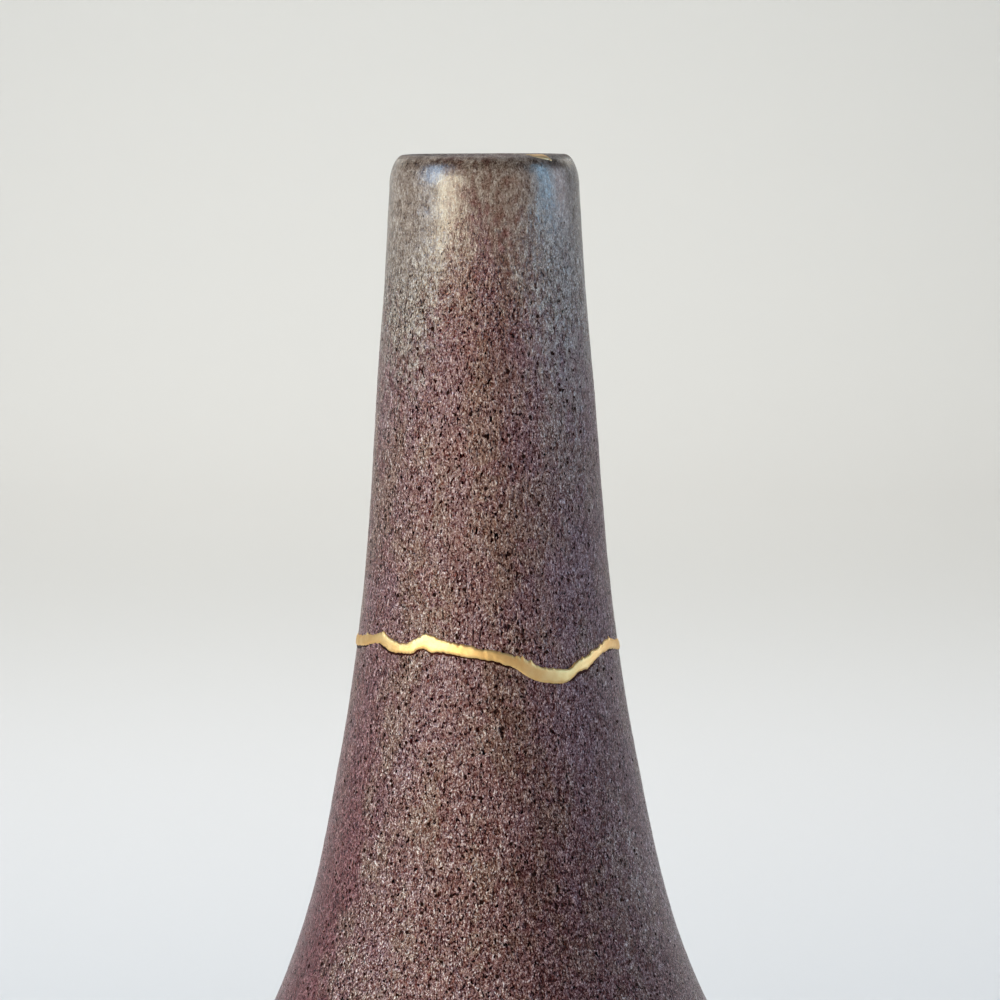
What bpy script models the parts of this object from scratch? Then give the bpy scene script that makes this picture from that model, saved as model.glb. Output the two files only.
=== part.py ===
"""A tall bottle vase of glazed stoneware, broken once across the neck and mended with gold.

Metres, +Z up. The vase stands on z = 0, and its axis is the Z axis. The front is towards -Y.
"""

import math

import bmesh
import bpy
from mathutils import Euler, Vector

MM = 0.001

# Driving dimensions
HEIGHT = 290 * MM
FOOT_RADIUS = 40.5 * MM
FOOT_HEIGHT = 5 * MM
FOOT_RING_WIDTH = 6.5 * MM
FOOT_RECESS = 3 * MM
FOOT_BEVEL = 1.2 * MM
WALL_AT_LIP = 4.4 * MM
WALL_AT_BELLY = 5.5 * MM
FLOOR_THICKNESS = 7 * MM
FLOOR_CORNER = 8 * MM

# The outside, from the foot up: height and radius where the curve passes
OUTSIDE = [
    (5 * MM, 43.0 * MM),
    (18 * MM, 51.8 * MM),
    (42 * MM, 61.6 * MM),
    (74 * MM, 65.0 * MM),
    (100 * MM, 59.2 * MM),
    (122 * MM, 47.7 * MM),
    (145 * MM, 36.4 * MM),
    (163 * MM, 30.6 * MM),
    (181 * MM, 26.9 * MM),
    (199 * MM, 23.7 * MM),
    (217 * MM, 21.35 * MM),
    (235 * MM, 19.85 * MM),
    (253 * MM, 18.55 * MM),
    (271 * MM, 17.05 * MM),
    (284.2 * MM, 16.3 * MM),
]
BELLY_STATION = 3

# The rounded lip, two quarter ellipses that meet on its crest
LIP_CREST_RADIUS = 13.7 * MM
LIP_INNER_DROP = 2.4 * MM
LIP_OUTER_STEPS = 6
LIP_INNER_STEPS = 3

# The break right round the neck: turn from the front in degrees (+X side positive), height, width of the gold
BREAK = [
    (-88, 205.7 * MM, 1.7 * MM),
    (-67, 207.2 * MM, 1.7 * MM),
    (-53, 208.5 * MM, 2.1 * MM),
    (-40, 207.4 * MM, 1.7 * MM),
    (-26, 209.2 * MM, 2.7 * MM),
    (-13, 208.2 * MM, 2.0 * MM),
    (6, 206.8 * MM, 1.9 * MM),
    (18, 204.6 * MM, 3.0 * MM),
    (31, 203.0 * MM, 2.5 * MM),
    (48, 204.8 * MM, 2.0 * MM),
    (64, 206.3 * MM, 1.8 * MM),
    (87, 204.6 * MM, 1.8 * MM),
    (112, 203.4 * MM, 2.1 * MM),
    (140, 205.2 * MM, 1.8 * MM),
    (165, 207.3 * MM, 2.2 * MM),
    (195, 205.4 * MM, 1.9 * MM),
    (220, 204.6 * MM, 2.2 * MM),
    (245, 206.6 * MM, 1.8 * MM),
]
INNER_WIDTH_SHARE = 0.6
GOLD_PROUD_OUTSIDE = 0.35 * MM
GOLD_PROUD_INSIDE = 0.2 * MM

# The heights from which the rings of each shard bend from level to the break, and the rings between others
BODY_LEVEL_BELOW = 193 * MM
NECK_LEVEL_ABOVE = 217 * MM
BODY_OUTER_STEPS = 17
BODY_INNER_STEPS = 11
NECK_STEPS = 4

# The chip in the lip, an ellipsoid that lies along it
CHIP_TURN = 41
CHIP_RADIUS = 14.0 * MM
CHIP_DEPTH = 0.45 * MM
CHIP_SIZE = (2.9 * MM, 1.0 * MM, 0.7 * MM)
CHIP_SKEW = 10
CHIP_ROLL = 18
CHIP_SEGMENTS = 14
CHIP_RINGS = 8

GAP = 0.3 * MM
SEGMENTS = 64


def smooth_through(stations, at, period=None):
    """The value at one place on a smooth curve through (place, value) stations, closed where it has a period."""
    if period:
        first, last = stations[0], stations[-1]
        at = first[0] + (at - first[0]) % period
        before = [(place - period, value) for place, value in stations[-2:]]
        after = [(place + period, value) for place, value in stations[:2]]
        stations = before + stations + after
    index = max(i for i, (place, _) in enumerate(stations[:-1]) if place <= at or i == 0)
    (x0, y0), (x1, y1) = stations[index], stations[index + 1]
    step = x1 - x0
    rise = (y1 - y0) / step
    slopes = []
    for near in (index, index + 1):
        if near == 0 or near == len(stations) - 1:
            slopes.append(rise)
            continue
        (xa, ya), (xb, yb), (xc, yc) = stations[near - 1 : near + 2]
        left, right = (yb - ya) / (xb - xa), (yc - yb) / (xc - xb)
        slopes.append((left * (xc - xb) + right * (xb - xa)) / (xc - xa))
    t = (at - x0) / step
    ease = t * t * (3 - 2 * t)
    lean = step * t * (1 - t)
    return y0 + (y1 - y0) * ease + lean * (slopes[0] * (1 - t) - slopes[1] * t)


def outer_radius(height):
    return smooth_through(OUTSIDE, height)


def wall_at(height):
    belly = OUTSIDE[BELLY_STATION][0]
    share = min(max((HEIGHT - height) / (HEIGHT - belly), 0), 1)
    return WALL_AT_LIP + (WALL_AT_BELLY - WALL_AT_LIP) * share


def inner_radius(height):
    """The outside moved in by the wall, measured square to the slope of the wall."""
    reach = 0.5 * MM
    slope = (outer_radius(height + reach) - outer_radius(height - reach)) / (2 * reach)
    return outer_radius(height) - wall_at(height) * math.hypot(1, slope)


def break_height(turn):
    return smooth_through([(degrees, height) for degrees, height, _ in BREAK], turn, 360)


def gold_width(turn):
    return smooth_through([(degrees, width) for degrees, _, width in BREAK], turn, 360)


def mix(low, high, share):
    return low + (high - low) * share


def level(radius, height):
    """A ring that lies level: the same radius and height at every turn."""
    return lambda turn: (radius, height)


def bent(radius_at, fixed_height, share, edge):
    """A ring part of the way from a level height to the break's edge."""

    def place(turn):
        height = mix(fixed_height, edge(turn), share)
        return radius_at(height), height

    return place


def steps_between(low, high, count):
    return [mix(low, high, (i + 1) / (count + 1)) for i in range(count)]


def ring_solid(name, rings, closed):
    """One solid from rings of points, each joined to the next: a ring solid where closed, otherwise capped."""
    mesh = bpy.data.meshes.new(name)
    build = bmesh.new()
    loops = []
    for place in rings:
        loop = []
        for i in range(SEGMENTS):
            turn = 360 * i / SEGMENTS
            radius, height = place(turn)
            angle = math.radians(turn)
            loop.append(build.verts.new((radius * math.sin(angle), -radius * math.cos(angle), height)))
        loops.append(loop)
    pairs = list(zip(loops, loops[1:]))
    if closed:
        pairs.append((loops[-1], loops[0]))
    else:
        build.faces.new(reversed(loops[0]))
        build.faces.new(loops[-1])
    for lower, upper in pairs:
        for i in range(SEGMENTS):
            j = (i + 1) % SEGMENTS
            build.faces.new((lower[i], lower[j], upper[j], upper[i]))
    bmesh.ops.recalc_face_normals(build, faces=build.faces)
    build.to_mesh(mesh)
    build.free()
    mesh.shade_smooth()
    mesh.set_sharp_from_angle(angle=math.radians(40))
    solid = bpy.data.objects.new(name, mesh)
    bpy.context.scene.collection.objects.link(solid)
    return solid


def body_edge(share):
    """The lower shard's break face, from its outer edge (share 0) to its inner edge (share 1)."""

    def edge(turn):
        half = gold_width(turn) / 2 * mix(1, INNER_WIDTH_SHARE, share)
        return break_height(turn) - half - GAP

    return edge


def neck_edge(share):
    """The upper shard's break face, from its outer edge (share 0) to its inner edge (share 1)."""

    def edge(turn):
        half = gold_width(turn) / 2 * mix(1, INNER_WIDTH_SHARE, share)
        return break_height(turn) + half + GAP

    return edge


def make_vase_body():
    rings = [
        level(FOOT_RADIUS - FOOT_RING_WIDTH - FOOT_BEVEL, FOOT_RECESS),
        level(FOOT_RADIUS - FOOT_RING_WIDTH, 0),
        level(FOOT_RADIUS - FOOT_BEVEL, 0),
        level(FOOT_RADIUS, FOOT_BEVEL),
        level(FOOT_RADIUS, FOOT_HEIGHT - FOOT_BEVEL),
    ]
    heights = [FOOT_HEIGHT] + steps_between(FOOT_HEIGHT, BODY_LEVEL_BELOW, BODY_OUTER_STEPS) + [BODY_LEVEL_BELOW]
    rings += [level(outer_radius(height), height) for height in heights]
    rings += [bent(outer_radius, BODY_LEVEL_BELOW, share, body_edge(0)) for share in (0.5, 1)]
    rings += [bent(inner_radius, BODY_LEVEL_BELOW, share, body_edge(1)) for share in (1, 0.5)]
    floor = FOOT_RECESS + FLOOR_THICKNESS
    corner = FLOOR_CORNER
    heights = [BODY_LEVEL_BELOW] + steps_between(BODY_LEVEL_BELOW, floor + corner, BODY_INNER_STEPS) + [floor + corner]
    rings += [level(inner_radius(height), height) for height in heights]
    edge = inner_radius(floor + corner)
    for angle in (math.pi / 4, math.pi / 2):
        radius = edge - corner * (1 - math.cos(angle))
        rings.append(level(radius, floor + corner * (1 - math.sin(angle))))
    return ring_solid("vase_body", rings, closed=False)


def make_vase_neck():
    top_outside, outer = OUTSIDE[-1]
    inner_top = HEIGHT - LIP_INNER_DROP
    inner = outer - WALL_AT_LIP
    rings = [bent(outer_radius, NECK_LEVEL_ABOVE, share, neck_edge(0)) for share in (1, 0.5)]
    heights = [NECK_LEVEL_ABOVE] + steps_between(NECK_LEVEL_ABOVE, top_outside, NECK_STEPS)
    rings += [level(outer_radius(height), height) for height in heights]
    for i in range(LIP_OUTER_STEPS + 1):
        angle = math.pi / 2 * i / LIP_OUTER_STEPS
        radius = LIP_CREST_RADIUS + (outer - LIP_CREST_RADIUS) * math.cos(angle)
        rings.append(level(radius, top_outside + (HEIGHT - top_outside) * math.sin(angle)))
    for i in range(1, LIP_INNER_STEPS + 1):
        angle = math.pi / 2 * i / LIP_INNER_STEPS
        radius = LIP_CREST_RADIUS - (LIP_CREST_RADIUS - inner) * math.sin(angle)
        rings.append(level(radius, inner_top + LIP_INNER_DROP * math.cos(angle)))
    heights = steps_between(inner_top, NECK_LEVEL_ABOVE, NECK_STEPS) + [NECK_LEVEL_ABOVE]
    rings += [level(inner_radius(height), height) for height in heights]
    rings += [bent(inner_radius, NECK_LEVEL_ABOVE, share, neck_edge(1)) for share in (0.5, 1)]
    return ring_solid("vase_neck", rings, closed=True)


def make_gold_seam():
    """The filled break: wide outside, narrower inside, with a low crown on both."""

    def on_wall(radius_at, share, proud, narrow):
        def place(turn):
            height = break_height(turn) + gold_width(turn) / 2 * narrow * share
            return radius_at(height) + proud, height

        return place

    outside = [(-1, 0.0), (-0.55, 0.75), (0, 1.0), (0.55, 0.75), (1, 0.0)]
    rings = [on_wall(outer_radius, share, GOLD_PROUD_OUTSIDE * lift, 1) for share, lift in outside]
    inside = [(1, 0.0), (0, 1.0), (-1, 0.0)]
    narrow = INNER_WIDTH_SHARE
    rings += [on_wall(inner_radius, share, -GOLD_PROUD_INSIDE * lift, narrow) for share, lift in inside]
    return ring_solid("gold_seam", rings, closed=True)


def make_chip_ellipsoid(name, grow):
    """An ellipsoid in the lip at the chip's place, its long side along the lip."""
    mesh = bpy.data.meshes.new(name)
    build = bmesh.new()
    bmesh.ops.create_uvsphere(build, u_segments=CHIP_SEGMENTS, v_segments=CHIP_RINGS, radius=1)
    bmesh.ops.scale(build, vec=Vector(CHIP_SIZE) + Vector((grow, grow, grow)), verts=build.verts)
    build.to_mesh(mesh)
    build.free()
    mesh.shade_smooth()
    solid = bpy.data.objects.new(name, mesh)
    bpy.context.scene.collection.objects.link(solid)
    angle = math.radians(CHIP_TURN)
    solid.location = (CHIP_RADIUS * math.sin(angle), -CHIP_RADIUS * math.cos(angle), HEIGHT - CHIP_DEPTH)
    solid.rotation_euler = Euler((math.radians(CHIP_ROLL), 0, angle - math.radians(CHIP_SKEW)), "XYZ")
    return solid


def cut_chip(solid):
    cutter = make_chip_ellipsoid("chip_cutter", GAP)
    cutter.hide_render = True
    cutter.display_type = "WIRE"
    cut = solid.modifiers.new("chip", "BOOLEAN")
    cut.operation = "DIFFERENCE"
    cut.object = cutter


def finish_with(solid, name, color, roughness, metallic):
    material = bpy.data.materials.new(name)
    material.use_nodes = True
    shader = material.node_tree.nodes["Principled BSDF"]
    shader.inputs["Base Color"].default_value = (*color, 1)
    shader.inputs["Roughness"].default_value = roughness
    shader.inputs["Metallic"].default_value = metallic
    material.diffuse_color = (*color, 1)
    solid.data.materials.append(material)


def main():
    for old in list(bpy.data.objects):
        bpy.data.objects.remove(old)
    finish_with(make_vase_body(), "plum_glaze_body", (0.12, 0.065, 0.065), 0.45, 0)
    neck = make_vase_neck()
    finish_with(neck, "plum_glaze_neck", (0.13, 0.075, 0.075), 0.45, 0)
    cut_chip(neck)
    finish_with(make_gold_seam(), "gold_lacquer_seam", (0.72, 0.49, 0.2), 0.35, 1)
    finish_with(make_chip_ellipsoid("gold_rim_fill", 0), "gold_lacquer_fill", (0.72, 0.49, 0.2), 0.35, 1)


main()
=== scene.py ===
import math

import bpy
import numpy as np
from mathutils import Euler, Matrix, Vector, noise


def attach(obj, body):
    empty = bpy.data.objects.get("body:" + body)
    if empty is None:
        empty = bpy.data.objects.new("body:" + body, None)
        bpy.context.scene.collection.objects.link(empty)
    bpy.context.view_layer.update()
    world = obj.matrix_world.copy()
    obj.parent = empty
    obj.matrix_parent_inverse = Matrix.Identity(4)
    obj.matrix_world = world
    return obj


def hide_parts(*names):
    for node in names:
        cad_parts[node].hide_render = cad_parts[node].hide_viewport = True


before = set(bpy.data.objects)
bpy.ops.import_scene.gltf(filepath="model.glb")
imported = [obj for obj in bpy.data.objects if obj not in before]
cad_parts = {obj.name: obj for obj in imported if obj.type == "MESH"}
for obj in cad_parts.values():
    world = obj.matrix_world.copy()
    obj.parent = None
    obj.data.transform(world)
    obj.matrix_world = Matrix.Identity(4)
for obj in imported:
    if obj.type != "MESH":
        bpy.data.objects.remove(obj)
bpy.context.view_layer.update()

MM = 0.001

# The camera: a long lens just above the rim, looking slightly down, rolled as the photograph is
LENS = 100.8
SENSOR_WIDTH = 36
NEAREST_SEEN = 10 * MM
CAMERA_PLACE = Vector((0, -483 * MM, 297 * MM))
CAMERA_PITCH = math.radians(7.87)
CAMERA_YAW = math.radians(-0.28)
CAMERA_ROLL = math.radians(-0.36)

# The lip, foot and floor of the solids, which the visible pieces follow
HEIGHT = 290 * MM
LIP_FOOT = 284.2 * MM
LIP_CREST_RADIUS = 13.7 * MM
LIP_INNER_DROP = 2.4 * MM
LIP_WALL = 4.4 * MM
FOOT_RADIUS = 40.5 * MM
FOOT_HEIGHT = 5 * MM
FOOT_RING_WIDTH = 6.5 * MM
FOOT_RECESS = 3 * MM
FOOT_BEVEL = 1.2 * MM
FLOOR_TOP = 10 * MM
FLOOR_CORNER = 8 * MM
SOLID_SEGMENTS = 64

# A face of the solid's wall: its normal rises no more than this, and points out or in by at least this much
LEVEL_FACE = 0.9
LEAST_LEAN = 0.25

# The mend on the front: turn from the front in degrees, +X side positive, height and width in mm; past the
# front's reach in degrees, the solid's own line takes over
SEAM_FRONT = [
    (-88, 205.9, 1.7), (-79, 206.4, 1.7), (-67, 207.3, 1.75), (-58, 208.1, 1.6),
    (-53.4, 208.45, 2.1), (-47.4, 207.75, 2.15), (-41.7, 207.45, 1.75), (-38, 207.5, 1.65),
    (-33.5, 208.15, 2.3), (-31, 208.7, 2.1), (-28.5, 209.1, 2.5), (-25.5, 208.8, 2.9),
    (-20, 208.5, 2.15), (-13.4, 208.05, 2.0), (-7.7, 207.75, 2.05), (-3.4, 207.35, 1.7),
    (3.9, 206.95, 1.8), (7.1, 206.5, 2.0), (12, 205.85, 2.1), (15, 205.15, 2.6),
    (18.9, 204.35, 3.05), (21, 203.85, 2.7), (25, 203.4, 2.55), (32, 202.9, 2.45),
    (37, 203.05, 2.0), (41.3, 204.0, 1.9), (48.4, 204.6, 2.05), (53, 205.3, 1.7),
    (58, 205.85, 1.6), (63.4, 206.35, 1.85), (78, 205.45, 1.7), (88, 204.7, 1.7),
]
FRONT_REACH = 92

# The mended chip: turn in degrees and place across the lip, -1 inside, 0 at the crest and 1 outside
CHIP_OUTLINE = [
    (31, -0.28), (32.6, 0.06), (35.5, 0.22), (40, 0.29), (44, 0.34),
    (47.6, 0.39), (49.0, 0.36), (47.4, 0.26), (45, 0.06), (42, -0.12),
    (38, -0.28), (34.5, -0.42), (32, -0.42),
]


# Shape: the outline and the break, read from the solids

def side_samples(outward):
    """(height, radius) of the wall's outer or inner surface, from the faces of both shards on that side."""
    found = {}
    for name in ("vase_body", "vase_neck"):
        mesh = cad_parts[name].data
        for face in mesh.polygons:
            away = Vector((face.center.x, face.center.y, 0)).normalized()
            lean = face.normal.dot(away)
            if abs(face.normal.z) > LEVEL_FACE or (lean if outward else -lean) < LEAST_LEAN:
                continue
            for index in face.vertices:
                x, y, z = mesh.vertices[index].co
                found[round(z / MM, 2) * MM] = math.hypot(x, y)
    return sorted(found.items())


def thinned(samples, low, high, step):
    kept = []
    for place, value in samples:
        if low <= place <= high and (not kept or place - kept[-1][0] >= step):
            kept.append((place, value))
    return kept


def smooth_curve(stations):
    """A smooth function through (place, value) stations that takes arrays of places."""
    x = np.array([place for place, _ in stations])
    y = np.array([value for _, value in stations])
    rise = np.diff(y) / np.diff(x)
    span = np.diff(x)
    slope = np.empty(len(x))
    slope[1:-1] = (rise[:-1] * span[1:] + rise[1:] * span[:-1]) / (span[1:] + span[:-1])
    slope[0], slope[-1] = rise[0], rise[-1]

    def at(places):
        places = np.asarray(places, float)
        i = np.clip(np.searchsorted(x, places) - 1, 0, len(x) - 2)
        t = (places - x[i]) / span[i]
        ease = t * t * (3 - 2 * t)
        lean = span[i] * t * (1 - t)
        return y[i] + (y[i + 1] - y[i]) * ease + lean * (slope[i] * (1 - t) - slope[i + 1] * t)

    return at


CURVE_STEP = 2.5 * MM
EDGE_SLACK = 0.1 * MM
INNER_FOOT = FLOOR_TOP + FLOOR_CORNER
INNER_TOP = HEIGHT - LIP_INNER_DROP
outer_radius = smooth_curve(
    thinned(side_samples(True), FOOT_HEIGHT - EDGE_SLACK, LIP_FOOT + EDGE_SLACK, CURVE_STEP)
)
inner_radius = smooth_curve(
    thinned(side_samples(False), INNER_FOOT - EDGE_SLACK, INNER_TOP + EDGE_SLACK, CURVE_STEP)
)


def solid_seam():
    """(turns, middle heights, widths) of the gold seam's solid."""
    step = 360 / SOLID_SEGMENTS
    wide = {}
    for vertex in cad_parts["gold_seam"].data.vertices:
        x, y, z = vertex.co
        turn = round(math.degrees(math.atan2(x, -y)) / step) % SOLID_SEGMENTS
        low, high = wide.get(turn, (z, z))
        wide[turn] = (min(low, z), max(high, z))
    turns = np.array(sorted(wide))
    low, high = np.array([wide[t] for t in turns]).T
    return (turns * step + 180) % 360 - 180, (low + high) / 2, high - low


def seam_functions():
    """Height and width of the mend at any turn: the close list in front, the solid's own line behind."""
    turns, middle, width = solid_seam()
    behind = np.abs(turns) > FRONT_REACH
    rows = [(t, m / MM, w / MM) for t, m, w in zip(turns[behind], middle[behind], width[behind])]
    t, m, w = np.array(sorted(rows + SEAM_FRONT)).T
    t = np.concatenate([t - 360, t, t + 360])
    height = smooth_curve(list(zip(t, np.tile(m, 3))))
    wide = smooth_curve(list(zip(t, np.tile(w, 3))))

    def seam_height(turns):
        return height((turns + 180) % 360 - 180) * MM

    def seam_width(turns):
        return wide((turns + 180) % 360 - 180) * MM

    return seam_height, seam_width


seam_height, seam_width = seam_functions()


# Rings of points, the relief of the glaze and its open pores

# How fast the octaves of a noise fade, the step between them, and how far each seed moves the noise
FADE, OCTAVE_STEP = 0.9, 2.0
SEED_SHIFT = (17.3, 5.1, 9.7)


def noise_at(points, size, seed, octaves=3):
    """Noise from -1 to 1 at points, for features of about the given size."""
    shift = Vector([seed * part for part in SEED_SHIFT])
    stretch = 1 / size
    return np.array([noise.fractal(Vector(p) * stretch + shift, FADE, OCTAVE_STEP, octaves) for p in points])


def around(turns, radius, heights):
    """Points round the axis; the turns, or else the radius and height, may be arrays."""
    angle = np.radians(turns)
    radius, heights = np.broadcast_arrays(radius, heights, subok=True)
    return np.stack(np.broadcast_arrays(radius * np.sin(angle), -radius * np.cos(angle), heights), axis=-1)


def turns_of(count):
    return np.arange(count) * 360 / count


def mesh_object(name, points, faces, smooth_angle=50):
    mesh = bpy.data.meshes.new(name)
    mesh.from_pydata([tuple(p) for p in points], [], faces)
    mesh.validate()
    mesh.shade_smooth()
    mesh.set_sharp_from_angle(angle=math.radians(smooth_angle))
    solid = bpy.data.objects.new(name, mesh)
    bpy.context.scene.collection.objects.link(solid)
    return solid


class Lathe:
    """Rings of points joined in turn; a ring may have a whole share of the points of the last."""

    def __init__(self):
        self.rings = []
        self.faces = []
        self.total = 0
        self.last = None

    def ring(self, points):
        first = self.total
        self.rings.append(points)
        self.total += len(points)
        if self.last:
            self.bridge(*self.last, first, len(points))
        self.last = (first, len(points))

    def bridge(self, start, count, first, other):
        """Faces between two rings, each edge of the coarser one to its run of edges of the finer one."""
        if count == other:
            i = np.arange(count)
            j = (i + 1) % count
            self.faces += np.stack([start + i, start + j, first + j, first + i], axis=1).tolist()
            return
        fine, coarse, n_fine, n_coarse = start, first, count, other
        if count < other:
            fine, coarse, n_fine, n_coarse = first, start, other, count
        each = n_fine // n_coarse
        for k in range(n_coarse):
            run = [fine + (k * each + m) % n_fine for m in range(each + 1)]
            face = run + [coarse + (k + 1) % n_coarse, coarse + k]
            self.faces.append(face if count > other else face[::-1])

    def cap(self, flip=False):
        start, count = self.last
        face = list(range(start, start + count))
        self.faces.append(face[::-1] if flip else face)

    def join(self):
        """Closes the last ring onto the first."""
        self.bridge(*self.last, 0, len(self.rings[0]))

    def points(self):
        return np.concatenate(self.rings)


# The relief of the glaze: the size of its features, how far they stand out and how they are drawn out round
# or up the wall; the bumps die out at the lip
WAVE_SIZE, WAVE_LIFT = 22 * MM, 0.10 * MM
LINE_SIZE, LINE_LIFT, LINE_STRETCH = 3.2 * MM, 0.03 * MM, (0.12, 0.12, 1)
BUMP_SIZE, BUMP_LIFT, BUMP_STRETCH = 0.85 * MM, 0.035 * MM, (1, 1, 0.6)
BUMP_HEIGHTS = (270 * MM, 284 * MM)
BUMP_SHARES = (1.0, 0.12)


def glaze_relief(points):
    """How far the glaze stands out from the turned form: slow waves, throwing lines and leathery bumps."""
    waves = noise_at(points, WAVE_SIZE, seed=1, octaves=2) * WAVE_LIFT
    lines = noise_at(points * LINE_STRETCH, LINE_SIZE, seed=3, octaves=2) * LINE_LIFT
    bumps = noise_at(points * BUMP_STRETCH, BUMP_SIZE, seed=2, octaves=2) * BUMP_LIFT
    return waves + lines + bumps * np.interp(points[..., 2], BUMP_HEIGHTS, BUMP_SHARES)


def glazed(turns, radius, heights):
    """Points on the outer wall with the glaze's relief."""
    points = around(turns, radius, heights)
    return around(turns, radius + glaze_relief(points), heights)


# The share of the wall's faces with a pore, by height in mm, and the range of the pores' shares of a face,
# of their uneven corners and of their depth
BODY_PORES = [(129, 0.030), (131, 0.042)]
NECK_PORES = [(262, 0.022), (276, 0.010), (284, 0.003)]
PORE_DEPTH, PORE_DEPTHS = 0.28 * MM, (0.5, 1.0)
PORE_SIZES, PORE_CORNERS = (0.35, 0.95), (0.8, 1.0)
PORE_NARROWING = 0.55


def with_pores(lathe, first, last, shares, seed):
    """Points, faces and pore depth (0 to 1) after sinking pits into some faces from first to last."""
    rng = np.random.default_rng(seed)
    points = lathe.points()
    quads = np.array(lathe.faces[first:last])
    centre = points[quads].mean(axis=1)
    share = np.interp(centre[:, 2] / MM, *zip(*shares))
    picked = (rng.random(len(quads)) < share).reshape(-1, FINE)
    for neighbour in ((0, 1), (1, 0), (1, 1), (1, -1)):
        picked &= ~np.roll(picked, neighbour, axis=(0, 1))
    picked = picked.ravel()
    kept = quads[~picked].tolist()
    quads, centre = quads[picked], centre[picked]
    count = len(quads)
    corners = points[quads]
    inward = centre * np.array([-1, -1, 0])
    inward /= np.linalg.norm(inward, axis=1, keepdims=True)
    size = rng.uniform(*PORE_SIZES, (count, 1, 1)) * rng.uniform(*PORE_CORNERS, (count, 4, 1))
    mouth = centre[:, None] + (corners - centre[:, None]) * size
    bed = centre[:, None] + (mouth - centre[:, None]) * PORE_NARROWING
    bed = bed + inward[:, None] * rng.uniform(*PORE_DEPTHS, (count, 1, 1)) * PORE_DEPTH
    rings = [quads]
    for ring in (mouth, bed):
        rings.append(len(points) + np.arange(count * 4).reshape(count, 4))
        points = np.concatenate([points, ring.reshape(-1, 3)])
    pits = rings[2].tolist()
    for outer, inner in zip(rings, rings[1:]):
        for i in range(4):
            j = (i + 1) % 4
            pits += np.stack([outer[:, i], outer[:, j], inner[:, j], inner[:, i]], axis=1).tolist()
    depth = np.zeros(len(points))
    depth[-count * 4:] = 1
    return points, lathe.faces[:first] + kept + pits + lathe.faces[last:], depth


def shard(name, points, faces, depth):
    piece = mesh_object(name, points, faces)
    attribute = piece.data.attributes.new("pore", "FLOAT", "POINT")
    attribute.data.foreach_set("value", depth.astype(np.float32))
    return piece


# Points round the outside and the inside, and where the shards end at the mend, as a share of its width
FINE = 336
COARSE = 84
SHARD_EDGE = 0.28

# Levels between which the rings are evenly spread, and how many rings each stretch has
BARE_TOP = 8 * MM
BELLY_TOP = 130 * MM
UNDER_MEND = 193 * MM
OVER_MEND = 217 * MM
BELLY_RINGS, SHOULDER_RINGS, INNER_BODY_RINGS, CORNER_RINGS = 66, 134, 46, 4
NECK_RINGS, LIP_RINGS, INNER_LIP_RINGS, INNER_NECK_RINGS = 191, 24, 12, 30

# The foot from the recess under the floor, round the ring on which the vase stands, to the wall
RING_IN = FOOT_RADIUS - FOOT_RING_WIDTH
FOOT_OUTLINE = [
    (RING_IN - FOOT_BEVEL - 0.6 * MM, FOOT_RECESS),
    (RING_IN - FOOT_BEVEL, FOOT_RECESS * 0.85),
    (RING_IN - 0.25 * MM, 0.35 * MM),
    (RING_IN + 0.4 * MM, 0),
    (RING_IN + FOOT_RING_WIDTH * 0.5, 0),
    (FOOT_RADIUS - FOOT_BEVEL, 0),
    (FOOT_RADIUS - FOOT_BEVEL * 0.35, FOOT_BEVEL * 0.3),
    (FOOT_RADIUS, FOOT_BEVEL),
    (FOOT_RADIUS - 0.1 * MM, FOOT_HEIGHT * 0.55),
    (FOOT_RADIUS + 0.1 * MM, FOOT_HEIGHT - FOOT_BEVEL),
    (FOOT_RADIUS + 0.9 * MM, FOOT_HEIGHT - 0.5 * MM),
]


def quarter_turn(rings):
    """Angles of a quarter turn in even steps, without its start."""
    return np.radians(np.linspace(0, 90, rings + 1)[1:])


def make_body():
    lathe = Lathe()
    coarse, fine = turns_of(COARSE), turns_of(FINE)
    lathe.ring(around(coarse, (RING_IN - FOOT_BEVEL) * 0.5, FOOT_RECESS))
    lathe.cap(flip=True)
    for radius, height in FOOT_OUTLINE:
        lathe.ring(around(fine, radius, height))
    for height in np.linspace(FOOT_HEIGHT + 0.5 * MM, BELLY_TOP, BELLY_RINGS):
        lathe.ring(glazed(fine, outer_radius(height), height))
        if height < BARE_TOP:
            first = len(lathe.faces)
    edge = seam_height(fine) - seam_width(fine) * SHARD_EDGE
    for share in np.linspace(0, 1, SHOULDER_RINGS + 1)[1:]:
        heights = BELLY_TOP + (edge - BELLY_TOP) * share
        lathe.ring(glazed(fine, outer_radius(heights), heights))
    last = len(lathe.faces)
    edge = seam_height(coarse) - seam_width(coarse) * SHARD_EDGE
    for share in (1, 0.5):
        heights = UNDER_MEND + (edge - UNDER_MEND) * share
        lathe.ring(around(coarse, inner_radius(heights), heights))
    for height in np.linspace(UNDER_MEND, INNER_FOOT, INNER_BODY_RINGS):
        lathe.ring(around(coarse, inner_radius(height), height))
    corner = inner_radius(INNER_FOOT)
    for angle in quarter_turn(CORNER_RINGS):
        radius = corner - FLOOR_CORNER * (1 - math.cos(angle))
        lathe.ring(around(coarse, radius, INNER_FOOT - FLOOR_CORNER * math.sin(angle)))
    lathe.cap()
    return shard("vase_body_glazed", *with_pores(lathe, first, last, BODY_PORES, seed=5))


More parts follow.
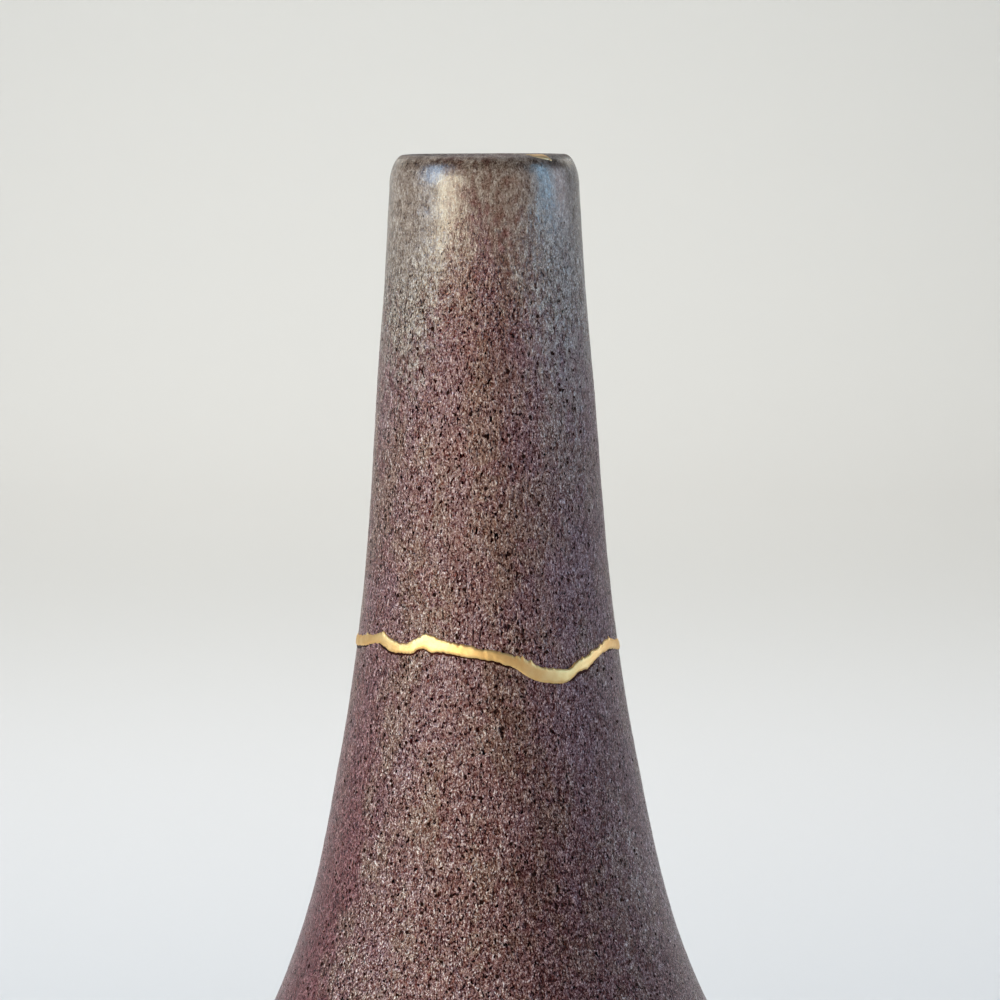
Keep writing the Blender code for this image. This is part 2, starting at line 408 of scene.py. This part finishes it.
def make_neck():
    lathe = Lathe()
    coarse, fine = turns_of(COARSE), turns_of(FINE)
    edge = seam_height(fine) + seam_width(fine) * SHARD_EDGE
    for share in np.linspace(0, 1, NECK_RINGS):
        heights = edge + (LIP_FOOT - edge) * share
        lathe.ring(glazed(fine, outer_radius(heights), heights))
    last = len(lathe.faces)
    outer = outer_radius(LIP_FOOT)
    for angle in quarter_turn(LIP_RINGS):
        radius = LIP_CREST_RADIUS + (outer - LIP_CREST_RADIUS) * math.cos(angle)
        height = LIP_FOOT + (HEIGHT - LIP_FOOT) * math.sin(angle)
        lift = glaze_relief(around(fine, radius, height))
        lathe.ring(around(fine, radius + lift * math.cos(angle), height + lift * math.sin(angle)))
    inner = inner_radius(INNER_TOP)
    for angle in quarter_turn(INNER_LIP_RINGS):
        radius = LIP_CREST_RADIUS - (LIP_CREST_RADIUS - inner) * math.sin(angle)
        height = INNER_TOP + LIP_INNER_DROP * math.cos(angle)
        lift = glaze_relief(around(fine, radius, height))
        lathe.ring(around(fine, radius - lift * math.sin(angle), height + lift * math.cos(angle)))
    for height in np.linspace(INNER_TOP - 1 * MM, OVER_MEND, INNER_NECK_RINGS):
        lathe.ring(around(coarse, inner_radius(height), height))
    edge = seam_height(coarse) + seam_width(coarse) * SHARD_EDGE
    for share in (0.5, 1):
        heights = OVER_MEND + (edge - OVER_MEND) * share
        lathe.ring(around(coarse, inner_radius(heights), heights))
    lathe.join()
    return shard("vase_neck_glazed", *with_pores(lathe, 0, last, NECK_PORES, seed=6))


# The gold bead, the filled break behind it as shares of the mend's width, and the lacquer that shows below
SEAM_POINTS = 1440
BEAD_RINGS = 15
BEAD_FLATNESS, ROUGH_FLATNESS = 3.5, 4
MEND_SHARE, INNER_SHARE = 0.45, 0.6
RAGGED_SIZE, RAGGED = 0.55 * MM, 0.16 * MM
FLAKE_SIZE, FLAKES, FLAKE_LEVEL = 1.1 * MM, 0.6 * MM, 0.15
LOWER_SIZE, LOWER_RAGGED = 0.9 * MM, 0.15 * MM
LACQUER_PATCH, LACQUER_WIDTH, LACQUER_LIFT = 5 * MM, 0.9 * MM, 0.05 * MM
LACQUER_LEVEL, LACQUER_MOST = -0.25, 0.6
BEAD_FOOT, BEAD_CROWN = 0.06 * MM, 0.24 * MM
FINE_ROUGH_SIZE, FINE_ROUGH = 0.9 * MM, 0.02 * MM
SLOW_ROUGH_SIZE, SLOW_ROUGH = 3.5 * MM, 0.04 * MM
MEND_DEPTH = 0.8 * MM
INNER_BEAD = 0.2 * MM


def make_seam():
    """The gold line: a low bead outside with a ragged upper edge, and the filled break behind it."""
    turns = turns_of(SEAM_POINTS)
    middle, width = seam_height(turns), seam_width(turns)
    line = around(turns, outer_radius(middle), middle)
    flakes = np.clip(noise_at(line, FLAKE_SIZE, seed=12, octaves=2) - FLAKE_LEVEL, 0, 1)
    top = middle + width / 2 + noise_at(line, RAGGED_SIZE, seed=11) * RAGGED + flakes * FLAKES
    bottom = middle - width / 2 + noise_at(line, LOWER_SIZE, seed=13) * LOWER_RAGGED
    patches = noise_at(line, LACQUER_PATCH, seed=16, octaves=2) - LACQUER_LEVEL
    low = bottom - np.clip(patches, 0, LACQUER_MOST) * LACQUER_WIDTH
    lathe = Lathe()
    lathe.ring(around(turns, outer_radius(low), low))
    for heights in (low * 0.4 + bottom * 0.6, bottom - 0.01 * MM):
        lathe.ring(around(turns, outer_radius(heights) + LACQUER_LIFT, heights))
    first_gold = lathe.total
    for share in np.linspace(-1, 1, BEAD_RINGS):
        heights = bottom + (top - bottom) * (share + 1) / 2
        base = outer_radius(heights)
        points = around(turns, base, heights)
        rough = noise_at(points, FINE_ROUGH_SIZE, seed=14) * FINE_ROUGH
        rough += noise_at(points, SLOW_ROUGH_SIZE, seed=15, octaves=2) * SLOW_ROUGH
        crown = BEAD_CROWN * (1 - abs(share) ** BEAD_FLATNESS) + BEAD_FOOT
        crown += rough * (1 - abs(share) ** ROUGH_FLATNESS)
        lathe.ring(around(turns, base + (0 if share == 1 else crown), heights))
    buried = outer_radius(middle) - MEND_DEPTH
    inside = inner_radius(middle)
    lathe.ring(around(turns, buried, middle + width * MEND_SHARE))
    for share, radius in ((1, inside), (0, inside - INNER_BEAD), (-1, inside)):
        lathe.ring(around(turns, radius, middle + width * MEND_SHARE * INNER_SHARE * share))
    lathe.ring(around(turns, buried, middle - width * MEND_SHARE))
    lathe.join()
    line = mesh_object("gold_seam_line", lathe.points(), lathe.faces, smooth_angle=70)
    lacquer = line.data.attributes.new("lacquer", "FLOAT", "POINT")
    lacquer.data.foreach_set("value", (np.arange(lathe.total) < first_gold).astype(np.float32))
    return line


def lip_point(share):
    """Radius, height and slope from the vertical of the rounded lip, from -1 inside to 1 outside."""
    outer = outer_radius(LIP_FOOT)
    if share > 0:
        reach, drop = outer - LIP_CREST_RADIUS, HEIGHT - LIP_FOOT
    else:
        reach, drop = LIP_CREST_RADIUS - outer + LIP_WALL, LIP_INNER_DROP
    angle = math.pi / 2 * abs(share)
    radius = LIP_CREST_RADIUS + math.copysign(reach * math.sin(angle), share)
    tilt = math.atan2(math.copysign(drop * math.sin(angle), share), reach * math.cos(angle))
    return radius, HEIGHT - drop * (1 - math.cos(angle)), tilt


# The pad of gold in the chip: its grid, the mm to a degree and across the lip, its edge, lift and depth
CHIP_COLUMNS, CHIP_ROWS = 150, 64
CHIP_TURNS = (29.5, 51)
CHIP_ACROSS = 0.55
CHIP_SCALE = (0.24, 5.5)
CHIP_RAGGED_SIZE, CHIP_RAGGED = 0.6 * MM, 0.10
CHIP_EDGE = 0.22
CHIP_LIFT, CHIP_SUNK, CHIP_DEPTH = 0.26 * MM, 0.12 * MM, 0.6 * MM


def inside_chip(turns, across):
    """How far points in turn (degrees) and place across the lip lie inside the chip's outline, in mm."""
    scale = np.array(CHIP_SCALE)
    points = np.stack([turns, across], axis=-1) * scale
    a = np.array(CHIP_OUTLINE) * scale
    b = np.roll(a, -1, axis=0)
    edge = b - a
    to = points[..., None, :] - a
    t = np.clip((to * edge).sum(-1) / (edge * edge).sum(-1), 0, 1)
    away = np.linalg.norm(to - t[..., None] * edge, axis=-1).min(-1)
    crosses = (a[:, 1] > points[..., None, 1]) != (b[:, 1] > points[..., None, 1])
    at = a[:, 0] + (points[..., None, 1] - a[:, 1]) * edge[:, 0] / np.where(edge[:, 1] == 0, 1, edge[:, 1])
    within = (crosses & (points[..., None, 0] < at)).sum(-1) % 2 == 1
    return np.where(within, away, -away)


def make_rim_fill():
    """The mended chip: a thin pad of gold over the lip, proud of the glaze inside its outline."""
    columns, rows = CHIP_COLUMNS, CHIP_ROWS
    turns = np.linspace(*CHIP_TURNS, columns)
    top, under = [], []
    shares = np.linspace(-CHIP_ACROSS, CHIP_ACROSS, rows)
    deep = inside_chip(*np.meshgrid(turns, shares, indexing="ij"))
    for i, turn in enumerate(turns):
        for j, share in enumerate(shares):
            radius, height, tilt = lip_point(share)
            point = Vector(around(turn, radius, height))
            ragged = noise.fractal(point / CHIP_RAGGED_SIZE, FADE, OCTAVE_STEP, 3) * CHIP_RAGGED
            rise = min(1.0, max(0.0, (deep[i, j] + ragged) / CHIP_EDGE + 0.5))
            for side, lift in ((top, CHIP_LIFT * rise - CHIP_SUNK), (under, -CHIP_DEPTH)):
                side.append(around(turn, radius + lift * math.sin(tilt), height + lift * math.cos(tilt)))
    shift = columns * rows
    a = (np.arange(columns - 1)[:, None] * rows + np.arange(rows - 1)).ravel()
    grid = np.stack([a, a + rows, a + rows + 1, a + 1], axis=1)
    faces = grid.tolist() + (grid[:, ::-1] + shift).tolist()
    rim = [i * rows for i in range(columns)] + [(columns - 1) * rows + j for j in range(1, rows)]
    rim += [i * rows + rows - 1 for i in range(columns - 2, -1, -1)] + list(range(rows - 2, 0, -1))
    faces += [(a, a + shift, b + shift, b) for a, b in zip(rim, rim[1:] + rim[:1])]
    return mesh_object("gold_rim_chip", np.array(top + under), faces, smooth_angle=60)


# Materials

class Graph:
    """A short way to write a material's nodes."""

    def __init__(self, name):
        self.material = bpy.data.materials.new(name)
        self.material.use_nodes = True
        self.tree = self.material.node_tree
        self.shader = self.tree.nodes["Principled BSDF"]

    def feed(self, socket, value):
        if isinstance(value, bpy.types.NodeSocket):
            self.tree.links.new(value, socket)
        else:
            socket.default_value = value

    def add(self, kind, inputs, out=0, **settings):
        node = self.tree.nodes.new(kind)
        for key, value in settings.items():
            setattr(node, key, value)
        for key, value in inputs.items():
            self.feed(node.inputs[key], value)
        return node.outputs[out]

    def math(self, operation, a, b=0.0):
        return self.add("ShaderNodeMath", {0: a, 1: b}, operation=operation)

    def plus(self, a, b):
        return self.math("ADD", a, b)

    def minus(self, a, b):
        return self.math("SUBTRACT", a, b)

    def times(self, a, b):
        return self.math("MULTIPLY", a, b)

    def vector(self, operation, a, b):
        return self.add("ShaderNodeVectorMath", {0: a, 1: b}, operation=operation)

    def step(self, value, low, high, to_low=0.0, to_high=1.0):
        """A smooth step from to_low to to_high as the value goes from low to high."""
        inputs = {"Value": value, "From Min": low, "From Max": high, "To Min": to_low, "To Max": to_high}
        return self.add("ShaderNodeMapRange", inputs, interpolation_type="SMOOTHSTEP")

    def mix(self, share, a, b):
        """A mix of two colors, which are the node's inputs 6 and 7 and its output 2."""
        return self.add("ShaderNodeMix", {0: share, 6: a, 7: b}, out=2, data_type="RGBA")

    def noise(self, vector, scale, detail=2.0, rough=0.5, out=0):
        inputs = {"Vector": vector, "Scale": scale, "Detail": detail, "Roughness": rough}
        return self.add("ShaderNodeTexNoise", inputs, out)

    def attribute(self, name):
        return self.add("ShaderNodeAttribute", {}, out="Fac", attribute_name=name)

    def millimetres(self):
        place = self.add("ShaderNodeTexCoord", {}, out="Object")
        return self.stretched(place, 1 / MM, 1 / MM)

    def stretched(self, place, across, up):
        return self.vector("MULTIPLY", place, (across, across, up))

    def moved(self, place, shift):
        return self.vector("ADD", place, shift)


def color(r, g, b):
    return (r, g, b, 1.0)


# The glaze: plum and brown with redder spots and a fine grain; thin, light olive and glossy near the lip
PLUM = color(0.141, 0.050, 0.053)
BROWN = color(0.154, 0.066, 0.049)
RED_SPOT = color(0.138, 0.045, 0.041)
# The left band's redder plum, darkened as painted shade
LEFT_SHADED_PLUM = color(0.150, 0.036, 0.040)
OLIVE_DARK = color(0.178, 0.124, 0.099)
OLIVE_LIGHT = color(0.272, 0.204, 0.170)
CLAY_DARK = color(0.20, 0.135, 0.095)
CLAY_LIGHT = color(0.34, 0.25, 0.18)
# Pits and pores are painted near black as their shade
PORE_SHADE_BLACK = color(0.030, 0.011, 0.008)

# Levels in mm: where the glaze thins and takes a gloss, the tongue of thick glaze, the lip and the bare foot
THIN_FROM = 224.0
THIN_FULL = 288.0
GLOSS_FROM = 262.0
SHEEN_FROM = 225.0
THIN_WANDER = 16.0
THIN_EDGE = (0.1, 0.9)
TONGUE_SIDE = -0.5
TONGUE_HALF = (3.0, 12.0)
TONGUE_DROP = 25.0
# The lip's dark band, partly its thin darker glaze and partly a painted dark reflection, lighter on the
# crest
RIM_SHADE_LINE = (287.5, 288.3, 288.7, 289.6)
RIM_SHADE_WANDER = 2.2
CREST_FROM = (288.6, 289.8)
BARE_LEVEL = 9.4
BARE_EDGE = 0.8
BARE_WANDER = 3.0

# The share of its turns that each pattern keeps up the wall, where it is drawn out, and how far they bend
TALL, WANDER_TALL, STRAND_TALL, CREVICE_TALL = 0.55, 0.45, 0.7, 0.8
BEND = 0.5

# Each pattern's noise as turns to a mm, finer octaves and their strength, and the levels that bound it
BEND_NOISE = (1.1, 1, 0.5)
WANDER_NOISE, WANDER_EDGE = (0.11, 2, 0.6), (0.42, 0.58)
SPOT_NOISE, SPOT_EDGE = (0.30, 1, 0.6), (0.53, 0.64)
CRUMB_NOISE, CRUMB_EDGE, CRUMB_SHARE = (0.9, 2), (0.40, 0.60), 1.0
GRAIN_NOISE = (1.3, 2, 0.7)
FINE_NOISE, FINE_SHIFT = (4.2, 1, 1.0), (31.0, 7.0, 3.0)
STRAND_NOISE, STRAND_EDGE = (2.1, 0), (0.05, 0.0)
CREVICE_NOISE, CREVICE_EDGE = (2.6, 0), (0.31, 0.26)
CRACK_NOISE, CRACK_EDGE, CRACK_SHIFT = (2.0, 0), (0.035, 0.0), (11.0, 3.0, 5.0)
GATE_NOISE, GATE_EDGE, GATE_SHIFT = (1.8, 0), (0.50, 0.60), (3.0, 19.0, 7.0)

# Pits in the material, painted near black as their shade: cells to a mm, share of cells without a pit,
# growth and edge; then the edge of the pores in the mesh, painted the same
PIT_CELLS, PIT_CHANCE, PIT_REACH, PIT_EDGE = 0.8, 0.62, 0.75, (-0.02, 0.04)
PORE_EDGE = (0.1, 0.7)

# How much each pattern lightens or darkens the glaze
GRAIN_TONE = 1.1
FINE_TONE = 2.5
STRAND_TONE = 0.15
# Crevices darken the glaze as painted shade
CREVICE_SHADE = 0.8
CREVICE_AT_LIP, CALM_GLOSS = 0.3, 0.6
TAIL = 1.5
DARK_SKEW = 1.25
MOST_TONE = 0.75
LIP_TONE = 0.6
# The lip's dark band and the crest: thin darker glaze and painted dark reflection
RIM_GLAZE_SHADE = 0.30
CREST_GLAZE_SHADE = 0.08

# The body below the mend is darker and redder; two bands of painted shade lie by turn from the front in
# radians, the left one also a redder plum; they wander a little and fade out on the belly
BELOW = (150.0, 225.0)
RED_BELOW = 0.10
DARK_BELOW = 0.03
STRONG_BELOW = 1.2
ABOVE = (240.0, 262.0)
WEAK_ABOVE = 0.85
LEFT_SHADE_BAND = (-0.72, -0.98, -1.35, -1.7)
LEFT_SHADE = 0.08
LEFT_CALM = 0.25
RIGHT_SHADE_BAND = (0.02, 0.40, 0.85, 1.2)
RIGHT_SHADE_TOP = (222.0, 248.0)
RIGHT_SHADE = (0.27, 0.06)
SHADE_BAND_WANDER = 1.2
SHADE_BAND_FADE = (70.0, 150.0)

# How far in mm each pattern stands out, and how the surface takes the light
GRAIN_RELIEF = 0.34
FINE_RELIEF = 0.14
CREVICE_RELIEF = 0.06
STRAND_RELIEF = 0.03
PIT_RELIEF = 0.12
SMOOTH_RELIEF = 0.12
ROUGH_BODY = 0.30
ROUGH_LIP = 0.25
ROUGH_CREST = 0.55
ROUGH_BARE = 0.8
SPECULAR = 0.6
DULL_TONE = (0.0, -0.45)
DULL_SHARE = 0.9


def glaze_material(name):
    g = Graph(name)
    mm = g.millimetres()
    side, away, height = [g.add("ShaderNodeSeparateXYZ", {0: mm}, out=i) for i in range(3)]
    tall = g.stretched(mm, 1, TALL)

    def between(value, rise_from, rise_to, fall_from, fall_to):
        return g.times(g.step(value, rise_from, rise_to), g.step(value, fall_from, fall_to, 1.0, 0.0))

    def centred(place, settings):
        return g.minus(g.noise(place, *settings), 0.5)

    # Where the glaze is thin, thick, low, or in one of the bands of painted shade
    wander = g.noise(g.stretched(mm, 1, WANDER_TALL), *WANDER_NOISE)
    drift = g.times(g.minus(wander, 0.5), THIN_WANDER)
    level = g.plus(height, drift)
    tongue = g.step(g.math("ABSOLUTE", g.minus(side, TONGUE_SIDE)), *TONGUE_HALF, -TONGUE_DROP, 0.0)
    thinness = g.step(g.plus(level, tongue), THIN_FROM, THIN_FULL)
    gloss = g.step(level, GLOSS_FROM, HEIGHT / MM)
    turn = g.plus(g.math("ARCTAN2", side, g.times(away, -1.0)), g.times(g.minus(wander, 0.5), SHADE_BAND_WANDER))
    low = g.step(height, *BELOW, 1.0, 0.0)
    shade_banded = g.times(low, g.step(height, *SHADE_BAND_FADE))
    left_plum_shade = g.times(shade_banded, between(turn, *LEFT_SHADE_BAND))
    right_shade = g.times(g.step(height, *SHADE_BAND_FADE), between(turn, *RIGHT_SHADE_BAND))
    right_shade = g.times(right_shade, g.step(height, *RIGHT_SHADE_TOP, 1.0, 0.0))

    # The grain, with strands, crevices and pores
    bend = g.stretched(g.noise(tall, *BEND_NOISE, out="Color"), BEND, BEND)
    warped = g.moved(tall, bend)
    grain = centred(warped, GRAIN_NOISE)
    fine = centred(g.moved(warped, FINE_SHIFT), FINE_NOISE)
    worm = g.math("ABSOLUTE", centred(g.stretched(warped, 1, STRAND_TALL), STRAND_NOISE))
    strand = g.step(worm, *STRAND_EDGE)
    short = g.stretched(warped, 1, CREVICE_TALL)
    blob = g.step(g.noise(short, *CREVICE_NOISE), *CREVICE_EDGE)
    crack = g.math("ABSOLUTE", centred(g.moved(short, CRACK_SHIFT), CRACK_NOISE))
    gate = g.step(g.noise(g.moved(short, GATE_SHIFT), *GATE_NOISE), *GATE_EDGE)
    crevice = g.math("MAXIMUM", blob, g.times(g.step(crack, *CRACK_EDGE), gate))
    cells = g.add("ShaderNodeTexVoronoi", {"Vector": mm, "Scale": PIT_CELLS})
    chance = g.add("ShaderNodeSeparateColor", {0: cells.node.outputs["Color"]})
    reach = g.times(g.minus(chance, PIT_CHANCE), PIT_REACH)
    hole = g.times(g.step(g.minus(cells, reach), *PIT_EDGE, 1.0, 0.0), g.minus(1.0, gloss))
    # Pits and pores: their painted shade
    pit_shade = g.math("MAXIMUM", hole, g.step(g.attribute("pore"), *PORE_EDGE))
    crumb = g.noise(tall, *CRUMB_NOISE)
    calm = g.step(gloss, 0.0, CALM_GLOSS, 1.0, CREVICE_AT_LIP)

    # The tone, as a change of the color's exponent
    tone = g.plus(g.times(grain, GRAIN_TONE), g.times(fine, FINE_TONE))
    tone = g.plus(tone, g.times(strand, STRAND_TONE))
    # Crevices are darkened as painted shade
    tone = g.minus(tone, g.times(g.times(crevice, calm), CREVICE_SHADE))
    tone = g.times(tone, g.plus(g.times(g.times(tone, tone), TAIL), 1.0))
    tone = g.math("MINIMUM", g.math("MINIMUM", tone, g.times(tone, DARK_SKEW)), MOST_TONE)
    tone = g.times(tone, g.step(gloss, 0.0, 1.0, 1.0, LIP_TONE))
    tone = g.times(tone, g.step(height, *BELOW, STRONG_BELOW, 1.0))
    tone = g.times(tone, g.step(height, *ABOVE, 1.0, WEAK_ABOVE))
    tone = g.times(tone, g.minus(1.0, g.times(left_plum_shade, LEFT_CALM)))
    tone = g.minus(tone, g.times(low, DARK_BELOW))
    # The two bands by turn from the front darken the glaze as painted shade
    tone = g.minus(tone, g.times(left_plum_shade, LEFT_SHADE))
    tone = g.minus(tone, g.times(right_shade, g.step(height, *BELOW, *RIGHT_SHADE)))
    # The dark band below the crest: the thin glaze's darker color and a painted dark reflection, less on the
    # crest
    rim = g.plus(height, g.times(g.minus(crumb, 0.5), RIM_SHADE_WANDER))
    rim_shade_line = g.step(rim, *RIM_SHADE_LINE[2:], 1.0, CREST_GLAZE_SHADE / RIM_GLAZE_SHADE)
    tone = g.minus(tone, g.times(g.step(rim, *RIM_SHADE_LINE[:2], 0.0, RIM_GLAZE_SHADE), rim_shade_line))

    # The colors
    base = g.mix(g.step(wander, *WANDER_EDGE), PLUM, BROWN)
    redder = g.plus(g.noise(mm, *SPOT_NOISE), g.times(low, RED_BELOW))
    # The left band of painted shade is also a redder plum
    base = g.mix(left_plum_shade, g.mix(g.step(redder, *SPOT_EDGE), base, RED_SPOT), LEFT_SHADED_PLUM)
    olive = g.mix(g.step(crumb, *CRUMB_EDGE), OLIVE_DARK, OLIVE_LIGHT)
    thin = g.step(g.plus(thinness, g.times(g.minus(crumb, 0.5), CRUMB_SHARE)), *THIN_EDGE)
    toned = g.add("ShaderNodeGamma", {0: g.mix(thin, base, olive), 1: g.minus(1.0, tone)})
    bare = g.step(g.plus(height, g.times(crumb, BARE_WANDER)), BARE_LEVEL, BARE_LEVEL - BARE_EDGE)
    glazed_color = g.mix(bare, toned, g.mix(grain, CLAY_DARK, CLAY_LIGHT))
    # Pits and pores are painted near black as shade
    g.feed(g.shader.inputs["Base Color"], g.mix(pit_shade, glazed_color, PORE_SHADE_BLACK))

    # Dark grains shine in their own color and light ones as glass does
    dull = g.times(g.math("MAXIMUM", crevice, g.step(tone, *DULL_TONE, 0.0, DULL_SHARE)), calm)
    g.feed(g.shader.inputs["Metallic"], g.math("MAXIMUM", pit_shade, dull))
    rough = g.step(level, SHEEN_FROM, HEIGHT / MM, ROUGH_BODY, ROUGH_LIP)
    rough = g.math("MAXIMUM", rough, g.step(height, *CREST_FROM, 0.0, ROUGH_CREST))
    rough = g.math("MAXIMUM", rough, g.times(g.math("MAXIMUM", bare, pit_shade), ROUGH_BARE))
    g.feed(g.shader.inputs["Roughness"], rough)
    g.shader.inputs["Specular IOR Level"].default_value = SPECULAR
    relief = g.plus(g.times(grain, GRAIN_RELIEF), g.times(fine, FINE_RELIEF))
    relief = g.plus(g.minus(relief, g.times(crevice, CREVICE_RELIEF)), g.times(strand, STRAND_RELIEF))
    relief = g.times(relief, g.step(gloss, 0.0, 1.0, 1.0, SMOOTH_RELIEF))
    relief = g.minus(relief, g.times(hole, PIT_RELIEF))
    bump = g.add("ShaderNodeBump", {"Height": relief, "Strength": 1.0, "Distance": MM})
    g.feed(g.shader.inputs["Normal"], bump)
    return g.material


# The gold: a fine powder over dark lacquer, which shows along its lower edge
GOLD_LIGHT = color(0.93, 0.615, 0.28)
GOLD_DEEP = color(0.86, 0.52, 0.21)
GOLD_THIN = color(0.40, 0.22, 0.09)
CHIP_LIGHT = color(0.80, 0.56, 0.31)
CHIP_DEEP = color(0.66, 0.44, 0.24)
LACQUER = color(0.035, 0.010, 0.007)
POWDER_NOISE, POWDER_WORN, POWDER_RANGE = (5.0, 3, 0.65), (0.66, 0.80), (0.3, 0.7)
WEAR_NOISE, WEAR_EDGE = (0.5, 2), (0.3, 0.7)
LACQUER_EDGE = (0.3, 0.7)
GOLD_ROUGH = (0.48, 0.62)
POWDER_RELIEF = 0.03


def gold_material(name, light, deep):
    g = Graph(name)
    mm = g.millimetres()
    powder = g.noise(mm, *POWDER_NOISE)
    gold = g.mix(g.step(g.noise(mm, *WEAR_NOISE), *WEAR_EDGE), light, deep)
    gold = g.mix(g.step(powder, *POWDER_WORN), gold, GOLD_THIN)
    lacquer = g.step(g.attribute("lacquer"), *LACQUER_EDGE)
    g.feed(g.shader.inputs["Base Color"], g.mix(lacquer, gold, LACQUER))
    g.shader.inputs["Metallic"].default_value = 1.0
    g.feed(g.shader.inputs["Roughness"], g.step(powder, *POWDER_RANGE, *GOLD_ROUGH))
    bump = g.add("ShaderNodeBump", {"Height": g.times(powder, POWDER_RELIEF), "Distance": MM})
    g.feed(g.shader.inputs["Normal"], bump)
    return g.material


# Stage: a pale floor that curves up into a round wall, open above, and soft lights

STAGE_POINTS = 96
FLOOR_RADII = (0.3, 0.8, 1.3, 1.7)
FLOOR_BEND = 0.7
BEND_ANGLES = np.radians(np.linspace(10, 90, 9))
WALL_TOP = 1.2
PAPER = color(0.60, 0.595, 0.585)
PAPER_ROUGH = 0.9


def make_stage():
    lathe = Lathe()
    turns = turns_of(STAGE_POINTS)
    lathe.ring(around(turns, FLOOR_RADII[0], 0.0))
    lathe.cap(flip=True)
    for radius in FLOOR_RADII[1:]:
        lathe.ring(around(turns, radius, 0.0))
    for angle in BEND_ANGLES:
        radius = FLOOR_RADII[-1] + FLOOR_BEND * math.sin(angle)
        lathe.ring(around(turns, radius, FLOOR_BEND * (1 - math.cos(angle))))
    lathe.ring(around(turns, radius, WALL_TOP))
    floor = mesh_object("pale_floor", lathe.points(), [face[::-1] for face in lathe.faces])
    g = Graph("pale_paper")
    g.shader.inputs["Base Color"].default_value = PAPER
    g.shader.inputs["Roughness"].default_value = PAPER_ROUGH
    floor.data.materials.append(g.material)


# Each light on the vase: turn and elevation as seen from the neck, distance, size, watts and color
LIGHTS = {
    "key": (-45, 4, 1.25, (0.56, 1.1), 21.0, (1.0, 0.95, 0.71)),
    "sky": (-68, 26, 1.3, (0.52, 0.75), 9.8, (0.28, 0.60, 1.0)),
    "strip": (79, 9, 1.2, (0.17, 1.4), 9.0, (0.30, 0.66, 1.0)),
    "side": (104, 2, 1.2, (0.3, 1.0), 3.4, (0.94, 0.90, 1.0)),
    "warm": (42, 14, 1.4, (0.7, 0.6), 1.0, (1.0, 0.45, 0.20)),
    "back_left": (-148, 24, 1.4, (0.6, 0.5), 1.0, (1.0, 0.97, 0.85)),
    "back_right": (146, 24, 1.4, (0.6, 0.5), 1.2, (1.0, 0.98, 0.88)),
}
NECK = Vector((0, 0, 220 * MM))

# Each light on the backdrop: place, the point it faces, size, watts, spread in degrees and color
BACKDROP_LIGHTS = {
    "floor_light": ((-0.1, 0.95, 1.4), (-0.1, 0.47, 0), (1.2, 0.6), 1.85, 60, (0.97, 0.95, 1.0)),
    "wall_light": ((-0.1, 1.2, 2.0), (-0.1, 1.95, 0), (1.2, 0.6), 19.6, 120, (0.99, 0.968, 0.915)),
}
ROOM = color(0.95, 0.96, 1.0)
ROOM_STRENGTH = 0.01


def soft_light(name, place, target, size, power, tint, spread=180):
    data = bpy.data.lights.new(name, "AREA")
    data.shape = "RECTANGLE"
    data.size, data.size_y = size
    data.energy = power
    data.color = tint
    data.spread = math.radians(spread)
    lamp = bpy.data.objects.new(name, data)
    lamp.location = place
    lamp.rotation_mode = "QUATERNION"
    lamp.rotation_quaternion = (place - target).to_track_quat("Z", "Y")
    lamp.visible_camera = False
    bpy.context.scene.collection.objects.link(lamp)


def make_lights():
    for name, (turn, elevation, distance, size, power, tint) in LIGHTS.items():
        a, e = math.radians(turn), math.radians(elevation)
        away = Vector((math.sin(a) * math.cos(e), -math.cos(a) * math.cos(e), math.sin(e)))
        soft_light(name, NECK + away * distance, NECK, size, power, tint)
    for name, (place, target, size, power, spread, tint) in BACKDROP_LIGHTS.items():
        soft_light(name, Vector(place), Vector(target), size, power, tint, spread)
    world = bpy.data.worlds.new("room")
    world.use_nodes = True
    background = world.node_tree.nodes["Background"]
    background.inputs[0].default_value = ROOM
    background.inputs[1].default_value = ROOM_STRENGTH
    bpy.context.scene.world = world
    bpy.context.scene.view_settings.view_transform = "Standard"


def make_camera():
    data = bpy.data.cameras.new("camera")
    data.lens = LENS
    data.sensor_width = SENSOR_WIDTH
    data.clip_start = NEAREST_SEEN
    camera = bpy.data.objects.new("camera", data)
    camera.location = CAMERA_PLACE
    turn = Euler((0, 0, CAMERA_YAW)).to_matrix() @ Euler((math.pi / 2 - CAMERA_PITCH, 0, 0)).to_matrix()
    turn = turn @ Euler((0, 0, CAMERA_ROLL)).to_matrix()
    camera.rotation_euler = turn.to_euler()
    bpy.context.scene.collection.objects.link(camera)
    bpy.context.scene.camera = camera


def dress(piece, material, node):
    piece.data.materials.append(material)
    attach(piece, "root")
    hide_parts(node)


make_camera()
make_lights()
make_stage()
dress(make_body(), glaze_material("glaze_of_body"), "vase_body")
dress(make_neck(), glaze_material("glaze_of_neck"), "vase_neck")
dress(make_seam(), gold_material("gold_of_seam", GOLD_LIGHT, GOLD_DEEP), "gold_seam")
dress(make_rim_fill(), gold_material("gold_of_chip", CHIP_LIGHT, CHIP_DEEP), "gold_rim_fill")
